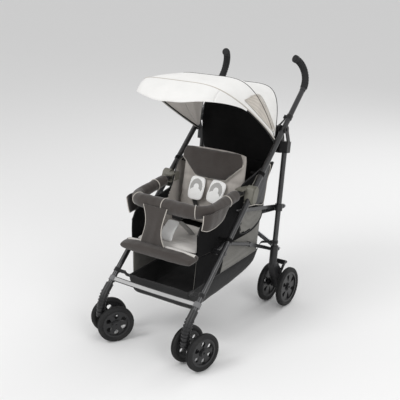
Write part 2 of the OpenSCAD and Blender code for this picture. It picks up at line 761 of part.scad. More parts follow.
// Cloth pouch behind the backrest, hung from the handles by two straps
module hood_bag() color("#18181a") {
    hang = leg_len + 62;
    translate([0, 440, 702])
        rotate([98, 0, 0])
            cushion(300, 130, 60, 12, 10, 0.5, [], 0.08);
    for (s = [-1, 1]) {
        rod([s * 120, 436, 752], [s * (side_x - tube_r - 2.4), leg_pt(hang)[1], leg_pt(hang)[2]], 6);
        translate([s * side_x, 0, 0])
            on_leg(hang - 10)
                difference() {
                    cylinder(h = 20, d = tube_d + 6);
                    translate([0, 0, -1]) cylinder(h = 22, d = tube_d + 2 * fit);
                }
    }
}

// Open cloth basket under the seat, tied to the front and rear legs
module basket() color("#1c1c1d") {
    w = 146;
    hang = rear_pt(90, 0);
    knot = [0, 284, 289];
    difference() {
        plate(-w, w) polygon([[-236, 252], [-226, 182], [-200, 166], [140, 186], [232, 206], [262, 262]]);
        plate(-w + 3, w - 3)
            polygon([[-235, 270], [-222.6, 184], [-199, 169.4], [140, 189.2], [230, 209], [262, 270]]);
    }
    for (s = [-1, 1]) {
        translate([s * side_x, 0, 0]) {
            leg_loop(86, 16, s, 40);
            on_rear(84)
                difference() {
                    cylinder(h = 12, d = tube_d + 5);
                    translate([0, 0, -1]) cylinder(h = 14, d = tube_d + 2 * fit);
                }
        }
        rod([s * 144.5, -231, 247], [s * 167, leg_pt(94)[1], leg_pt(94)[2]], 5);
        rod([s * (side_x - tube_r - 1), hang[1], hang[2]], [s * 150, knot[1], knot[2]], 5);
        translate([s * 150, knot[1], knot[2]]) sphere(d = 6);
        rod([s * 150, knot[1], knot[2]], [s * 144.6, 254, 252], 5);
    }
}

// Foot strap between the two front legs
module foot_strap() color("#6f7072") {
    for (s = [-1, 1]) translate([s * side_x, 0, 0])
        on_leg(44)
            difference() {
                cylinder(h = 20, d = tube_d + 8);
                translate([0, 0, -1]) cylinder(h = 22, d = tube_d + 2 * fit);
            }
    translate([-side_x + tube_r + 2, 0, 0])
        on_leg(44)
            translate([0, 4, 0]) cube([frame_w - tube_d - 4, 3, 20]);
}

front_leg_right();
front_leg_left();
grip_right();
grip_left();
elbow_right();
elbow_left();
caster_neck_right();
caster_neck_left();
caster_fork_right();
caster_fork_left();
tyre_fr_out();
tyre_fr_in();
tyre_fl_out();
tyre_fl_in();
rim_fr_out();
rim_fr_in();
rim_fl_out();
rim_fl_in();
tyre_rr_out();
tyre_rr_in();
tyre_rl_out();
tyre_rl_in();
rim_rr_out();
rim_rr_in();
rim_rl_out();
rim_rl_in();
rear_leg_right();
rear_leg_left();
rear_housing_right();
rear_housing_left();
brake_right();
brake_left();
top_joint_right();
top_joint_left();
collar_right();
collar_left();
brace_a();
brace_b();
strut_right();
strut_left();
rail_right();
rail_left();
link_right();
link_left();
seat_pad();
leg_rest();
backrest();
head_pad();
seat_shell();
bumper_bar();
crotch_flap();
harness();
crotch_strap();
buckle();
canopy();
canopy_bow();
visor();
hood_bag();
basket();
foot_strap();
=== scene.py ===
import json
import math

import bmesh
import bpy
import numpy as np
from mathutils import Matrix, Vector


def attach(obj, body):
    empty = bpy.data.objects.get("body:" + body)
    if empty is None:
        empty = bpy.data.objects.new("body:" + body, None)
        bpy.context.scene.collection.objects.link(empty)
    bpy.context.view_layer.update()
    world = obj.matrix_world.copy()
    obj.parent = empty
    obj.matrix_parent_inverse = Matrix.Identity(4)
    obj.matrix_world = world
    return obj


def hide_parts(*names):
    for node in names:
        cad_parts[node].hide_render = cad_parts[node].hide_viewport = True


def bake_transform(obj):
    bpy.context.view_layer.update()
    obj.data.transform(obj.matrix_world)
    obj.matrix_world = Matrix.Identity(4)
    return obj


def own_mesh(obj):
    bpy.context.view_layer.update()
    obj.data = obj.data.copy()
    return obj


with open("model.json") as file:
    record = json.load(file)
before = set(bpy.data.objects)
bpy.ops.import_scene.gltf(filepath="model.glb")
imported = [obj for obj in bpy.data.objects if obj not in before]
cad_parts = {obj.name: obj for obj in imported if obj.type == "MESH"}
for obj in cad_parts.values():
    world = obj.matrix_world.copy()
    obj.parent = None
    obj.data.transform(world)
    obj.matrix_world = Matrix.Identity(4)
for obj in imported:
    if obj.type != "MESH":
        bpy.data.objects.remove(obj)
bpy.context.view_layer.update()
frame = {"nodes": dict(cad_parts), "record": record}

MM = 0.001
scene = bpy.context.scene
nodes = frame["nodes"]
SIDES = ((1, "right"), (-1, "left"))
MIRROR = np.array([-1, 1, 1])

# The legs of the frame: distance from the middle, and the slopes of the front and rear legs
LEG_X = 206
FRONT_COS, FRONT_SIN = math.cos(math.radians(41.8)), math.sin(math.radians(41.8))
REAR_SIN, REAR_COS = math.sin(math.radians(8)), math.cos(math.radians(8))
FRONT_ALONG = np.array([0, FRONT_COS, FRONT_SIN])
FRONT_ACROSS = np.array([0, -FRONT_SIN, FRONT_COS])
REAR_ALONG = np.array([0, REAR_SIN, REAR_COS])
REAR_ACROSS = np.array([0, REAR_COS, -REAR_SIN])
LOOP_RADIUS = 12.3
WEB_SLOPE = (0, 0.5, 0.866)


# Mesh helpers. All points are in millimetres until the mesh is made.

def unit(v):
    return v / np.maximum(np.linalg.norm(v, axis=-1, keepdims=True), 1e-9)


def ripple(p, size, seed):
    """A smooth noise in -1..1 from a few sines, for the points p."""
    rng = np.random.default_rng(seed)
    waves = 6
    out = np.zeros(p.shape[:-1])
    for _ in range(waves):
        k = rng.normal(size=3)
        k = k / np.linalg.norm(k) * (2 * math.pi / size) * rng.uniform(0.6, 1.5)
        out += np.sin(p @ k + rng.uniform(0, 6.28))
    return out / waves * 1.6


def circle(n):
    """n angles round a circle."""
    return np.linspace(0, 2 * math.pi, n, endpoint=False)


def squared(c, power):
    """Turns the sines and cosines of a circle into those of a rounded rectangle."""
    return np.sign(c) * np.abs(c) ** power


def as_list(mats):
    return mats if isinstance(mats, (list, tuple)) else [mats]


def make(name, verts, faces, mats, index=None):
    me = bpy.data.meshes.new(name)
    me.from_pydata((np.asarray(verts, float) * MM).tolist(), [], [list(f) for f in faces])
    for m in as_list(mats):
        me.materials.append(m)
    if index is not None:
        me.polygons.foreach_set("material_index", np.asarray(index, np.int32))
    me.polygons.foreach_set("use_smooth", [True] * len(me.polygons))
    me.validate()
    me.update()
    o = bpy.data.objects.new(name, me)
    scene.collection.objects.link(o)
    return o


def recalc(o):
    """Turns all faces outwards."""
    b = bmesh.new()
    b.from_mesh(o.data)
    bmesh.ops.recalc_face_normals(b, faces=b.faces)
    b.to_mesh(o.data)
    b.free()
    return o


def subdivide(o):
    """Smooths a mesh by one subdivision, baked in."""
    m = o.modifiers.new("sub", "SUBSURF")
    m.levels = m.render_levels = 1
    bpy.context.view_layer.update()
    dg = bpy.context.evaluated_depsgraph_get()
    me = bpy.data.meshes.new_from_object(o.evaluated_get(dg))
    o.modifiers.clear()
    o.data = me
    return o


def quads(r, c, off=0, flip=False, wrap=False):
    """The faces of a grid of r rows and c columns, closed round its columns with wrap."""
    i, j = np.meshgrid(np.arange(r - 1), np.arange(c if wrap else c - 1), indexing="ij")
    k = (j + 1) % c
    f = np.stack([i * c + j, i * c + k, (i + 1) * c + k, (i + 1) * c + j], -1).reshape(-1, 4) + off
    return f[:, ::-1] if flip else f


def normals(P):
    return unit(np.cross(np.gradient(P, axis=1), np.gradient(P, axis=0)))


def shell(name, P, t, mats, index=None, lining=None):
    """A closed sheet of thickness t about the grid P. index and lining give a material for each face of the
    outer and the inner side. Without lining the inner side takes the last material."""
    r, c = P.shape[:2]
    n = normals(P)
    A, B = P + n * t / 2, P - n * t / 2
    k = r * c
    outer, inner = quads(r, c), quads(r, c, k, True)
    rim = []
    for j in range(c - 1):
        rim.append([j + 1, j, k + j, k + j + 1])
        q = (r - 1) * c
        rim.append([q + j, q + j + 1, k + q + j + 1, k + q + j])
    for i in range(r - 1):
        rim.append([i * c, (i + 1) * c, k + (i + 1) * c, k + i * c])
        q = c - 1
        rim.append([(i + 1) * c + q, i * c + q, k + i * c + q, k + (i + 1) * c + q])
    if index is None:
        index = np.zeros(len(outer), int)
    if lining is None:
        lining = np.full(len(inner), len(as_list(mats)) - 1)
    idx = np.concatenate([index, lining, np.zeros(len(rim), int)])
    verts = np.concatenate([A.reshape(-1, 3), B.reshape(-1, 3)])
    return recalc(make(name, verts, list(outer) + list(inner) + rim, mats, idx))


def loft(name, rows, mat):
    """A closed solid over rings of points, with flat ends."""
    k, n = rows.shape[:2]
    f = [list(q) for q in quads(k, n, wrap=True)]
    f += [list(range(n)), list(range((k - 1) * n, k * n))]
    return recalc(make(name, rows.reshape(-1, 3), f, mat))


def frames(p, closed=False):
    """Two side vectors along a polyline."""
    if closed:
        t = unit(np.roll(p, -1, 0) - np.roll(p, 1, 0))
    else:
        t = unit(np.gradient(p, axis=0))
    a = np.array([0, 0, 1.0]) if abs(t[0][2]) < 0.9 else np.array([1.0, 0, 0])
    us = []
    for d in t:
        a = a - (a @ d) * d
        a = a / np.linalg.norm(a)
        us.append(a)
    u = np.array(us)
    return u, np.cross(t, u)


def tube(name, p, r, mat, n=10, closed=False):
    """A round tube along the points p. r is one radius or one for each point."""
    p = np.asarray(p, float)
    r = np.broadcast_to(np.asarray(r, float), (len(p),))
    u, w = frames(p, closed)
    a = circle(n)
    ring = u[:, None] * np.cos(a)[None, :, None] + w[:, None] * np.sin(a)[None, :, None]
    V = p[:, None] + ring * r[:, None, None]
    if not closed:
        return loft(name, V, mat)
    f = [list(q) for q in quads(len(p), n, wrap=True)]
    q = (len(p) - 1) * n
    f += [[q + j, q + (j + 1) % n, (j + 1) % n, j] for j in range(n)]
    return recalc(make(name, V.reshape(-1, 3), f, mat))


def smooth_line(pts, n, closed=False):
    """A Catmull-Rom line through pts, resampled to n points of even spacing."""
    p = np.asarray(pts, float)
    if closed:
        p = np.vstack([p[-1], p, p[0], p[1]])
    else:
        p = np.vstack([2 * p[0] - p[1], p, 2 * p[-1] - p[-2]])
    out = []
    for i in range(1, len(p) - 2):
        a, b, c, d = p[i - 1:i + 3]
        for s in np.linspace(0, 1, 24, endpoint=False):
            square = (2 * a - 5 * b + 4 * c - d) * s**2
            cube = (3 * b - a - 3 * c + d) * s**3
            out.append(0.5 * (2 * b + (c - a) * s + square + cube))
    if not closed:
        out.append(p[-2])
    out = np.array(out)
    if closed:
        out = np.vstack([out, out[0]])
    d = np.concatenate([[0], np.cumsum(np.linalg.norm(np.diff(out, axis=0), axis=1))])
    s = np.linspace(0, d[-1], n, endpoint=not closed)
    return np.stack([np.interp(s, d, out[:, k]) for k in range(3)], -1)


def smooth_yz(pts, n):
    """The same for points that are given by y and z alone."""
    q = smooth_line(np.column_stack([np.zeros(len(pts)), pts]), n)
    return q[:, 1:]


def strip(name, line, width_dir, w, t, mat):
    """A flat strap along a line, w wide along width_dir and t thick."""
    line = np.asarray(line, float)
    wd = np.broadcast_to(np.asarray(width_dir, float), line.shape)
    s = np.linspace(-0.5, 0.5, 5)
    P = line[:, None] + wd[:, None] * (s * w)[None, :, None]
    return shell(name, P, t, mat)


def rot_x(p, deg):
    c, s = math.cos(math.radians(deg)), math.sin(math.radians(deg))
    p = np.asarray(p, float)
    return np.stack([p[..., 0], p[..., 1] * c - p[..., 2] * s, p[..., 1] * s + p[..., 2] * c], -1)


def inside(poly, y, z):
    """Which of the points y, z lie in a polygon."""
    hit = np.zeros(y.shape, bool)
    for (ay, az), (by, bz) in zip(poly, np.roll(poly, -1, 0)):
        cross = (az > z) != (bz > z)
        hit ^= cross & (y < (by - ay) * (z - az) / (bz - az + 1e-12) + ay)
    return hit


# Materials. Patterns come from object coordinates, which are those of the frame.

def new_material(name):
    m = bpy.data.materials.new(name)
    m.use_nodes = True
    nt = m.node_tree
    return m, nt, nt.nodes["Principled BSDF"]


def node(nt, kind, **values):
    n = nt.nodes.new(kind)
    for k, v in values.items():
        if k in n.inputs:
            n.inputs[k].default_value = v
        else:
            setattr(n, k, v)
    return n


def object_coordinates(nt):
    return node(nt, "ShaderNodeTexCoord").outputs["Object"]


def noise(nt, coord, scale, detail=4.0, rough=0.55):
    n = node(nt, "ShaderNodeTexNoise", Scale=scale, Detail=detail, Roughness=rough)
    nt.links.new(coord, n.inputs["Vector"])
    return n.outputs["Fac"]


def remap(nt, value, lo, hi, a, b):
    n = node(nt, "ShaderNodeMapRange")
    nt.links.new(value, n.inputs["Value"])
    for k, v in (("From Min", lo), ("From Max", hi), ("To Min", a), ("To Max", b)):
        n.inputs[k].default_value = v
    return n.outputs["Result"]


def mix(nt, fac, a, b):
    n = node(nt, "ShaderNodeMix", data_type="RGBA")
    nt.links.new(fac, n.inputs[0])
    for sock, v in ((n.inputs[6], a), (n.inputs[7], b)):
        if isinstance(v, tuple):
            sock.default_value = (*v, 1)
        else:
            nt.links.new(v, sock)
    return n.outputs[2]


def math_node(nt, op, a, b=None):
    n = node(nt, "ShaderNodeMath", operation=op)
    for i, v in enumerate((a, b)):
        if v is None:
            continue
        if isinstance(v, (int, float)):
            n.inputs[i].default_value = v
        else:
            nt.links.new(v, n.inputs[i])
    return n.outputs[0]


def bump(nt, bsdf, heights):
    """Chains bump nodes: (height, strength, distance in metres)."""
    last = None
    for h, strength, dist in heights:
        b = node(nt, "ShaderNodeBump", Strength=strength, Distance=dist)
        nt.links.new(h, b.inputs["Height"])
        if last:
            nt.links.new(last, b.inputs["Normal"])
        last = b.outputs["Normal"]
    nt.links.new(last, bsdf.inputs["Normal"])


def weave(nt, coord, period):
    """Over-under weave of two thread directions, the same on every plane, in 0..1."""
    sep = node(nt, "ShaderNodeSeparateXYZ")
    nt.links.new(coord, sep.inputs[0])
    k = 2 * math.pi / period
    s = [math_node(nt, "SINE", math_node(nt, "MULTIPLY", sep.outputs[i], k)) for i in range(3)]
    total = math_node(nt, "ADD", math_node(nt, "ADD", s[0], s[1]), s[2])
    return remap(nt, total, -3, 3, 0, 1)


def fabric(name, c1, c2, period=0.0024, sheen=0.25, wrinkle=0.35, wrinkle_scale=38.0, thread=0.5, spec=0.25):
    """Woven cloth: threads, soft creases, and a slow change of shade."""
    rough = 0.88
    m, nt, b = new_material(name)
    co = object_coordinates(nt)
    w = weave(nt, co, period)
    slow = noise(nt, co, 9.0, 3.0)
    fine = noise(nt, co, 420.0, 2.0)
    shade = mix(nt, remap(nt, slow, 0.3, 0.7, 0, 1), c1, c2)
    thread_dark = tuple(x * 0.72 for x in c1)
    between = remap(nt, math_node(nt, "MULTIPLY", w, fine), 0.12, 0.42, 0.55 * thread, 0)
    nt.links.new(mix(nt, between, shade, thread_dark), b.inputs["Base Color"])
    nt.links.new(remap(nt, fine, 0.3, 0.7, rough - 0.06, rough + 0.06), b.inputs["Roughness"])
    b.inputs["Sheen Weight"].default_value = sheen
    b.inputs["Sheen Roughness"].default_value = 0.5
    b.inputs["Specular IOR Level"].default_value = spec
    folds = noise(nt, co, wrinkle_scale, 3.0, 0.5)
    bump(nt, b, [(folds, wrinkle, 0.004), (w, 0.35, 0.0006), (fine, 0.15, 0.0004)])
    return m


def webbing(name, c1, c2, thread=0.9):
    """Coarse woven strap."""
    return fabric(name, c1, c2, period=0.0032, wrinkle=0.05, thread=thread)


def net(name, c_thread, c_gap, period):
    """Knitted net: round holes in a thread ground."""
    m, nt, b = new_material(name)
    co = object_coordinates(nt)
    v = node(nt, "ShaderNodeTexVoronoi", Scale=1 / period, Randomness=0.12, feature="F1")
    nt.links.new(co, v.inputs["Vector"])
    hole = remap(nt, v.outputs["Distance"], 0.25, 0.5, 0, 1)
    slow = noise(nt, co, 12.0, 3.0)
    lit = mix(nt, remap(nt, slow, 0.3, 0.7, 0, 1), c_thread, tuple(x * 0.8 for x in c_thread))
    nt.links.new(mix(nt, hole, c_gap, lit), b.inputs["Base Color"])
    b.inputs["Roughness"].default_value = 0.8
    b.inputs["Sheen Weight"].default_value = 0.15
    b.inputs["Specular IOR Level"].default_value = 0.25
    bump(nt, b, [(noise(nt, co, 30.0, 2.0), 0.3, 0.004), (hole, 0.5, 0.0008)])
    return m


def plastic(name, c1, c2, rough):
    """Moulded plastic with a fine spark grain, rubbed paler in places."""
    m, nt, b = new_material(name)
    co = object_coordinates(nt)
    slow = noise(nt, co, 22.0, 5.0, 0.6)
    grain = noise(nt, co, 900.0, 2.0)
    worn = remap(nt, slow, 0.56, 0.74, 0, 0.6)
    nt.links.new(mix(nt, worn, c1, c2), b.inputs["Base Color"])
    nt.links.new(remap(nt, slow, 0.3, 0.75, rough - 0.07, rough + 0.1), b.inputs["Roughness"])
    bump(nt, b, [(grain, 0.25, 0.0003)])
    return m


def metal(name, c1, c2, rough, metallic=1.0, coat=0.0):
    """Drawn tube: fine lines along it, small scuffs and a slow change of gloss."""
    m, nt, b = new_material(name)
    co = object_coordinates(nt)
    mp = node(nt, "ShaderNodeMapping")
    nt.links.new(co, mp.inputs["Vector"])
    mp.inputs["Scale"].default_value = (1.0, 1.0, 0.03)
    lines = noise(nt, mp.outputs["Vector"], 700.0, 3.0)
    slow = noise(nt, co, 14.0, 5.0, 0.6)
    nt.links.new(mix(nt, remap(nt, slow, 0.42, 0.68, 0, 1), c1, c2), b.inputs["Base Color"])
    b.inputs["Metallic"].default_value = metallic
    b.inputs["Coat Weight"].default_value = coat
    b.inputs["Coat Roughness"].default_value = 0.14
    drawn = remap(nt, lines, 0.3, 0.7, rough - 0.06, rough + 0.06)
    scuffs = remap(nt, slow, 0.5, 0.75, 0, 0.1)
    nt.links.new(math_node(nt, "ADD", drawn, scuffs), b.inputs["Roughness"])
    bump(nt, b, [(lines, 0.12, 0.0002)])
    return m


def rubber(name, c1, c2, rough):
    """Foam or rubber with an uneven surface, paler in patches: dust, and on the tyres also painted highlight."""
    m, nt, b = new_material(name)
    co = object_coordinates(nt)
    slow = noise(nt, co, 26.0, 5.0, 0.65)
    grain = noise(nt, co, 1400.0, 2.0)
    nt.links.new(mix(nt, remap(nt, slow, 0.5, 0.75, 0, 0.7), c1, c2), b.inputs["Base Color"])
    nt.links.new(remap(nt, slow, 0.3, 0.7, rough - 0.05, rough + 0.1), b.inputs["Roughness"])
    b.inputs["Specular IOR Level"].default_value = 0.35
    bump(nt, b, [(grain, 0.3, 0.0003)])
    return m


WHITE = fabric("cloth_white", (0.83, 0.825, 0.81), (0.77, 0.765, 0.75), wrinkle=0.22, thread=0.22, sheen=0.1)
# Canopy lining: its cloth colour raised paler with painted light, which stands in for light shining through the
# white canopy.
LINING_WITH_PAINTED_LIGHT = fabric("cloth_lining_painted_light", (0.84, 0.8, 0.76), (0.78, 0.74, 0.7), wrinkle=0.25, thread=0.3)
PAD_WHITE = fabric("pad_white", (0.9, 0.9, 0.89), (0.86, 0.86, 0.85), wrinkle=0.15, thread=0.15, sheen=0.1)
BLACK = fabric("cloth_black", (0.0045, 0.0045, 0.0048), (0.008, 0.008, 0.0083), sheen=0.01, spec=0.12)
DARK = fabric("cloth_dark", (0.044, 0.037, 0.033), (0.058, 0.05, 0.046), sheen=0.3)
TAUPE = fabric("cloth_taupe", (0.46, 0.43, 0.4), (0.4, 0.372, 0.345), sheen=0.2)
LIGHT = fabric("cloth_light", (0.66, 0.64, 0.615), (0.58, 0.56, 0.535), sheen=0.2)
GREY = fabric("cloth_grey", (0.46, 0.455, 0.445), (0.4, 0.395, 0.385))
PIPING = fabric("piping_light", (0.56, 0.53, 0.48), (0.48, 0.45, 0.41), period=0.0012, wrinkle=0.05)
BINDING = fabric("binding_black", (0.012, 0.012, 0.013), (0.02, 0.02, 0.02), period=0.0012, wrinkle=0.05)
WEBBING = webbing("webbing_black", (0.016, 0.016, 0.017), (0.028, 0.028, 0.028))
GREY_WEB = webbing("webbing_grey", (0.2, 0.2, 0.205), (0.16, 0.16, 0.165))
PALE_WEB = webbing("webbing_pale", (0.5, 0.5, 0.5), (0.44, 0.44, 0.44), thread=0.5)
BASKET = fabric("mesh_black_fine", (0.02, 0.02, 0.0205), (0.034, 0.034, 0.034), period=0.0036, thread=1.0,
                sheen=0.1, wrinkle=0.5, wrinkle_scale=24.0)
MESH_BLACK = net("mesh_black", (0.03, 0.03, 0.031), (0.004, 0.004, 0.004), 0.0055)
MESH_GREY = net("mesh_grey", (0.085, 0.085, 0.088), (0.018, 0.018, 0.018), 0.0045)
MESH_SIDE = net("mesh_side", (0.2, 0.195, 0.18), (0.125, 0.12, 0.108), 0.004)
MESH_TAUPE = net("mesh_taupe", (0.6, 0.555, 0.5), (0.36, 0.33, 0.29), 0.0045)
DARK_TUBE = metal("frame_silver", (0.035, 0.035, 0.037), (0.024, 0.024, 0.026), 0.3, 0.6, coat=0.7)
STEEL = metal("link_steel", (0.45, 0.46, 0.48), (0.36, 0.37, 0.38), 0.3)
BLACK_TUBE = metal("frame_black", (0.012, 0.012, 0.013), (0.02, 0.02, 0.021), 0.36, 0.0, coat=0.6)
BLACK_PLASTIC = plastic("black_plastic", (0.01, 0.01, 0.011), (0.024, 0.024, 0.026), 0.38)
RIM_PLASTIC = plastic("rim_black", (0.011, 0.011, 0.012), (0.026, 0.026, 0.028), 0.3)
OLIVE_PLASTIC = plastic("grey_plastic", (0.14, 0.135, 0.112), (0.19, 0.185, 0.16), 0.46)
FOAM = rubber("grip_foam", (0.022, 0.022, 0.023), (0.04, 0.04, 0.042), 0.85)
# The tyre's paler second colour is partly dust and partly painted highlight.
TYRE_DUST_AND_PAINTED_HIGHLIGHT = rubber("tyre_black", (0.009, 0.009, 0.0095), (0.032, 0.031, 0.029), 0.66)

SLOTS = {
    "frame_silver": DARK_TUBE, "frame_black": BLACK_TUBE, "link_steel": STEEL,
    "black_plastic": BLACK_PLASTIC, "grey_plastic": OLIVE_PLASTIC, "rim_black": RIM_PLASTIC,
    "grip_foam": FOAM, "tyre_black": TYRE_DUST_AND_PAINTED_HIGHLIGHT, "webbing": GREY_WEB, "mesh_black": MESH_BLACK,
    "cloth_white": WHITE, "cloth_black": BLACK, "cloth_dark": DARK, "cloth_taupe": TAUPE, "cloth_light": LIGHT,
}
for sub in frame["record"]["subparts"]:
    o = nodes[sub["node"]]
    o.data.materials.clear()
    o.data.materials.append(SLOTS[sub["material_slot"]])


# Soft pieces and how they follow the frame

def trim(o, body):
    """Puts a soft piece on its body, on a mesh of its own."""
    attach(o, body)
    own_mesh(o)


def carry(o, body):
    """Puts a piece on its body, with which it moves as it is."""
    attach(o, body)


def cloth(o):
    """Reads the area of each face of a sheet, and does nothing with them."""
    me = o.data
    a = np.zeros(len(me.polygons))
    me.polygons.foreach_get("area", a)


def pillow(name, half_w, half_l, top, low, place, mats, nu=41, nv=33, edge=0.12, corner=0.05, grooves=(),
           index=None):
    """A stuffed pad: two crowned sides joined at a seam. half_w may change along the length.
    grooves are functions of (u, v) that say how far the top is drawn down."""
    u, v = np.meshgrid(np.linspace(-1, 1, nu), np.linspace(-1, 1, nv))
    w = half_w(v) if callable(half_w) else half_w
    x = w * u * (1 - corner * v**4)
    y = half_l * v * (1 - corner * u**4)
    crown = ((1 - np.abs(u) ** 4.0) * (1 - np.abs(v) ** 4.0)) ** 0.5
    height = (edge + (1 - edge) * crown) * (crown > 0)
    drawn = np.ones_like(u)
    for f in grooves:
        drawn = drawn * f(u, v)
    A = np.stack([x, y, top * height * drawn], -1)
    B = np.stack([x, y, -low * height], -1)
    k = nu * nv
    inner = np.zeros((nv, nu), bool)
    inner[1:-1, 1:-1] = True
    ids = np.arange(k).reshape(nv, nu)
    ids = np.where(inner, ids + k, ids).reshape(-1)
    fa = quads(nv, nu)
    fb = ids[fa][:, ::-1]
    V = np.concatenate([A.reshape(-1, 3), B.reshape(-1, 3)])
    used = np.unique(np.concatenate([fa.reshape(-1), fb.reshape(-1)]))
    back_to = np.full(2 * k, -1)
    back_to[used] = np.arange(len(used))
    idx = None
    if index is not None:
        cu, cv = (u[:-1, :-1] + u[1:, 1:]) / 2, (v[:-1, :-1] + v[1:, 1:]) / 2
        idx = np.concatenate([index(cu, cv).reshape(-1), np.zeros(len(fb), int)])
    return recalc(make(name, place(V[used]), back_to[np.concatenate([fa, fb])], mats, idx))


def groove_v(at, depth, width=0.05):
    return lambda u, v: 1 - depth * np.exp(-(((v - at) / width) ** 2))


def groove_u(at, depth, width=0.03):
    return lambda u, v: 1 - depth * np.exp(-(((u - at) / width) ** 2))


def puff(o, pressure, cap):
    """Swells a pad with cloth and air pressure, and holds each point to within cap of where it was."""
    steps = 18
    start = np.array([v.co for v in o.data.vertices])
    m = o.modifiers.new("cloth", "CLOTH")
    s = m.settings
    s.quality = 5
    s.mass = 0.3
    s.tension_stiffness = s.compression_stiffness = 12
    s.shear_stiffness = 6
    s.bending_stiffness = 0.4
    s.use_pressure = True
    s.uniform_pressure_force = pressure
    s.effector_weights.gravity = 0
    m.point_cache.frame_start, m.point_cache.frame_end = 1, steps
    for f in range(1, steps + 1):
        scene.frame_set(f)
    dg = bpy.context.evaluated_depsgraph_get()
    co = np.array([v.co for v in o.evaluated_get(dg).data.vertices])
    o.modifiers.clear()
    scene.frame_set(1)
    d = co - start
    n = np.linalg.norm(d, axis=1, keepdims=True)
    d = d * np.minimum(1, cap * MM / np.maximum(n, 1e-9))
    o.data.vertices.foreach_set("co", (start + d).reshape(-1))
    o.data.update()


def crease(o, size, depth, seed):
    """Moves points along their normals by a soft noise."""
    o.data.update()
    n = len(o.data.vertices)
    co, no = np.zeros(n * 3), np.zeros(n * 3)
    o.data.vertices.foreach_get("co", co)
    o.data.vertices.foreach_get("normal", no)
    co, no = co.reshape(-1, 3), no.reshape(-1, 3)
    co = co + no * (ripple(co / MM, size, seed) * depth * MM)[:, None]
    o.data.vertices.foreach_set("co", co.reshape(-1))
    o.data.update()


def pad(o, swell, creases, stands_for, body):
    """Finishes a pad. swell is its pressure and cap, creases are their size, depth and seed."""
    if swell:
        puff(o, *swell)
    subdivide(o)
    crease(o, *creases)
    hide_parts(stands_for)
    trim(o, body)


# Seat pad

def at_seat(p):
    return rot_x(p, -3.4) + np.array([0, -64, 388])


seat = pillow("seat_cushion", 151, 133, 13.5, 9.5, at_seat, [LIGHT],
              grooves=[groove_v(-0.5, 0.3), groove_v(0.5, 0.3)])
pad(seat, (2.0, 4), (60, 0.7, 11), "seat_pad", "right_frame")


# Leg rest: light top, dark border

LEGS_W, LEGS_L, LEGS_TOP, LEGS_EDGE = 174, 32.5, 14.5, 0.3
LEGS_SEAM, LEGS_SEAM_END = 0.36, 0.93


def at_legs(p):
    return rot_x(p, 8) + np.array([0, -231.8, 389])


def legs_light(u, v):
    return ((v > LEGS_SEAM) & (np.abs(u) < LEGS_SEAM_END)).astype(int)


leg_rest = pillow("leg_rest_pad", LEGS_W, LEGS_L, LEGS_TOP, 19, at_legs, [DARK, LIGHT], nu=57, nv=25,
                  edge=LEGS_EDGE, corner=0.04, grooves=[groove_v(LEGS_SEAM, 0.22, 0.1)], index=legs_light)
pad(leg_rest, (2.0, 3), (45, 0.6, 12), "leg_rest", "leg_rest")
u = np.linspace(-LEGS_SEAM_END, LEGS_SEAM_END, 50)
height = LEGS_TOP * (LEGS_EDGE + (1 - LEGS_EDGE) * np.sqrt(1 - np.abs(u) ** 4)) * 0.8
line = np.stack([LEGS_W * u * 0.97, np.full(50, LEGS_L * LEGS_SEAM), height], -1)
o = tube("leg_rest_piping", at_legs(line), 1.9, PIPING)
trim(o, "leg_rest")


# Backrest, head pad and harness share the backrest's own frame: across, towards the back, up

def back(p):
    return rot_x(p, -13) + np.array([0, 78, 390])


def at_back(p):
    return back(np.stack([p[..., 0], 17 - p[..., 2], 166 + p[..., 1]], -1))


cushion = pillow("back_cushion", 153.5, 162, 13.5, 9.5, at_back, [TAUPE], nu=45, nv=45, corner=0.06,
                 grooves=[groove_v(-0.3, 0.3), groove_v(0.2, 0.3), groove_u(-0.62, 0.25), groove_u(0.62, 0.25)])
pad(cushion, (2.0, 4), (60, 0.8, 13), "backrest", "backrest")

HEAD_L, HEAD_LOW_W, HEAD_CORNER = 62, 78, 0.06


def head_half(v):
    """Half width of the head pad from its lower edge to its top."""
    return np.interp(v, [-1, -0.7, -0.2, 0.15, 0.45, 1], [HEAD_LOW_W, 92, 122, 145, 147, 140])


def at_head(p):
    return back(np.stack([p[..., 0], -6.3 - p[..., 2], 262 + p[..., 1]], -1))


head = pillow("head_pad_cushion", head_half, HEAD_L, 16.5, 6.5, at_head, [DARK], nu=49, nv=27, edge=0.2,
              corner=HEAD_CORNER)
pad(head, (2.0, 4), (50, 0.8, 14), "head_pad", "backrest")
rim_side = []
for v in np.linspace(0.3, -1, 18):
    rim_side.append([head_half(v) * (1 - HEAD_CORNER * v**4), HEAD_L * v * (1 - HEAD_CORNER), 0])
rim_low = []
for u in np.linspace(0.8, -0.8, 12):
    rim_low.append([HEAD_LOW_W * u * (1 - HEAD_CORNER), -HEAD_L * (1 - HEAD_CORNER * u**4), 0])
rim = np.vstack([rim_side, rim_low, np.array(rim_side[::-1]) * MIRROR])
o = tube("head_pad_piping", smooth_line(at_head(rim), 120), 2.3, PIPING)
trim(o, "backrest")

# Shoulder straps: distance from the middle, shift, depth and height of their points
SHOULDER = ((42, -3, 1, 214), (47, -5, -2.4, 190), (48, -7, -9, 140), (48, -9, -14, 108), (46, -7, -9, 84),
            (43, -4, 2.4, 62))


def shoulder_arc(u, v):
    """The plain grey arc on a shoulder pad."""
    r = np.hypot(u / 0.98, (v - 0.1) / 0.86)
    return ((0.34 < r) & (r < 0.8) & (v > 0.05 - 0.5 * u * u)).astype(int)


